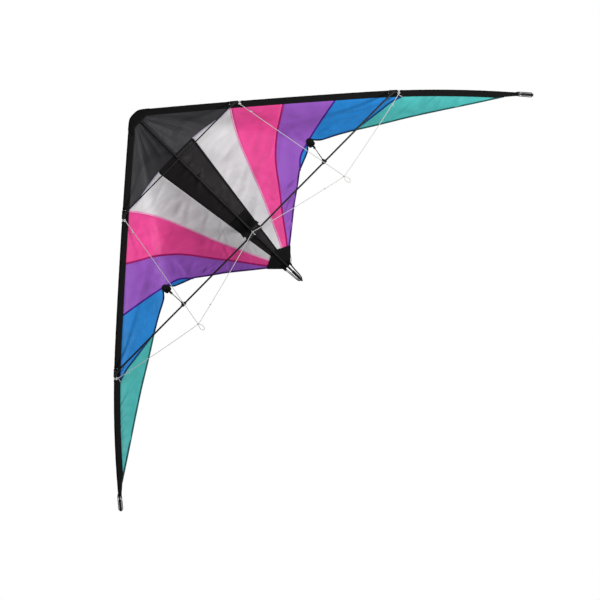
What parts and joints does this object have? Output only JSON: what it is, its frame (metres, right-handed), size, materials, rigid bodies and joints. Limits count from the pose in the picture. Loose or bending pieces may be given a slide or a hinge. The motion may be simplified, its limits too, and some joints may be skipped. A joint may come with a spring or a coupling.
{
  "type": "sport kite",
  "caption": "Two-line delta sport kite with a striped sail on a tube frame, standoffs behind the lower spreaders and a three-leg bridle on each wing.",
  "frame": {"origin": "middle of the fold at the top of the nose strap, in the plane of the leading edges", "axes": "+Z from the tail to the nose, +X towards the right wing tip as seen from the bridle side, -Y out of the face that carries the bridle"},
  "size_m": [1.8054, 0.1653, 0.8305],
  "materials": {
    "carbon_tube": "pultruded carbon tube, satin",
    "carbon_rod": "pultruded carbon rod, satin",
    "ferrule": "solid glass fibre, ground",
    "fitting_rubber": "moulded fitting, matt",
    "nock_plastic": "moulded nock, matt",
    "glass_fibre": "pultruded glass fibre, dyed black",
    "webbing": "woven webbing",
    "sleeve_cloth": "heavy polyester cloth",
    "patch_cloth": "heavy polyester cloth",
    "nose_cloth": "charcoal ripstop",
    "center_cloth": "black ripstop",
    "grey_cloth": "light grey ripstop",
    "pink_cloth": "pink ripstop",
    "purple_cloth": "purple ripstop",
    "blue_cloth": "blue ripstop",
    "teal_cloth": "teal ripstop",
    "bridle_line": "braided polyester line",
    "elastic": "braided elastic cord"
  },
  "bodies": {
    "frame": {"spine": "carbon_tube", "le_upper_spar_l": "carbon_tube", "le_upper_spar_r": "carbon_tube", "le_lower_spar_l": "carbon_tube", "le_lower_spar_r": "carbon_tube", "le_ferrule_l": "ferrule", "le_ferrule_r": "ferrule", "center_tee": "fitting_rubber", "upper_le_connector_l": "fitting_rubber", "upper_le_connector_r": "fitting_rubber", "lower_le_connector_l": "fitting_rubber", "lower_le_connector_r": "fitting_rubber", "spine_tail_nock": "nock_plastic", "wingtip_nock_l": "nock_plastic", "wingtip_nock_r": "nock_plastic", "nose_strap": "webbing", "le_sleeve_l": "sleeve_cloth", "le_sleeve_r": "sleeve_cloth", "tee_patch": "patch_cloth", "tail_patch": "patch_cloth", "standoff_patch_l": "patch_cloth", "standoff_patch_r": "patch_cloth", "nose_panel_l": "nose_cloth", "nose_panel_r": "nose_cloth", "center_panel": "center_cloth", "grey_panel_l": "grey_cloth", "grey_panel_r": "grey_cloth", "pink_panel_l": "pink_cloth", "pink_panel_r": "pink_cloth", "purple_panel_l": "purple_cloth", "purple_panel_r": "purple_cloth", "blue_panel_l": "blue_cloth", "blue_panel_r": "blue_cloth", "teal_panel_l": "teal_cloth", "teal_panel_r": "teal_cloth", "upper_outhaul_l": "bridle_line", "upper_outhaul_r": "bridle_line", "lower_outhaul_l": "bridle_line", "lower_outhaul_r": "bridle_line", "inhaul_l": "bridle_line", "inhaul_r": "bridle_line", "tow_knot_l": "bridle_line", "tow_knot_r": "bridle_line", "tow_loop_l": "bridle_line", "tow_loop_r": "bridle_line", "bridle_wraps": "bridle_line", "wingtip_bungee_l": "elastic", "wingtip_bungee_r": "elastic", "tail_bungee": "elastic"},
    "upper_spreader": {"upper_spreader": "carbon_rod"},
    "lower_spreader_l": {"lower_spreader_l": "carbon_rod"},
    "lower_spreader_r": {"lower_spreader_r": "carbon_rod"},
    "standoff_l": {"standoff_clip_l": "fitting_rubber", "standoff_rod_l": "glass_fibre", "standoff_nock_l": "nock_plastic"},
    "standoff_r": {"standoff_clip_r": "fitting_rubber", "standoff_rod_r": "glass_fibre", "standoff_nock_r": "nock_plastic"}
  },
  "joints": [
    {"name": "upper_spreader_slide", "type": "slide", "parent": "frame", "child": "upper_spreader", "axis": [1, 0, 0], "range_m": [0, 0.017]},
    {"name": "lower_spreader_l_slide", "type": "slide", "parent": "frame", "child": "lower_spreader_l", "axis": [-1, 0, 0], "range_m": [0, 0.026]},
    {"name": "lower_spreader_r_slide", "type": "slide", "parent": "frame", "child": "lower_spreader_r", "axis": [1, 0, 0], "range_m": [0, 0.026]},
    {"name": "standoff_l_swing", "type": "hinge", "parent": "frame", "child": "standoff_l", "pos_m": [-0.306, -0.01, -0.517], "axis": [-1, 0, 0], "range_deg": [0, 110]},
    {"name": "standoff_r_swing", "type": "hinge", "parent": "frame", "child": "standoff_r", "pos_m": [0.306, -0.01, -0.517], "axis": [-1, 0, 0], "range_deg": [0, 110]}
  ]
}
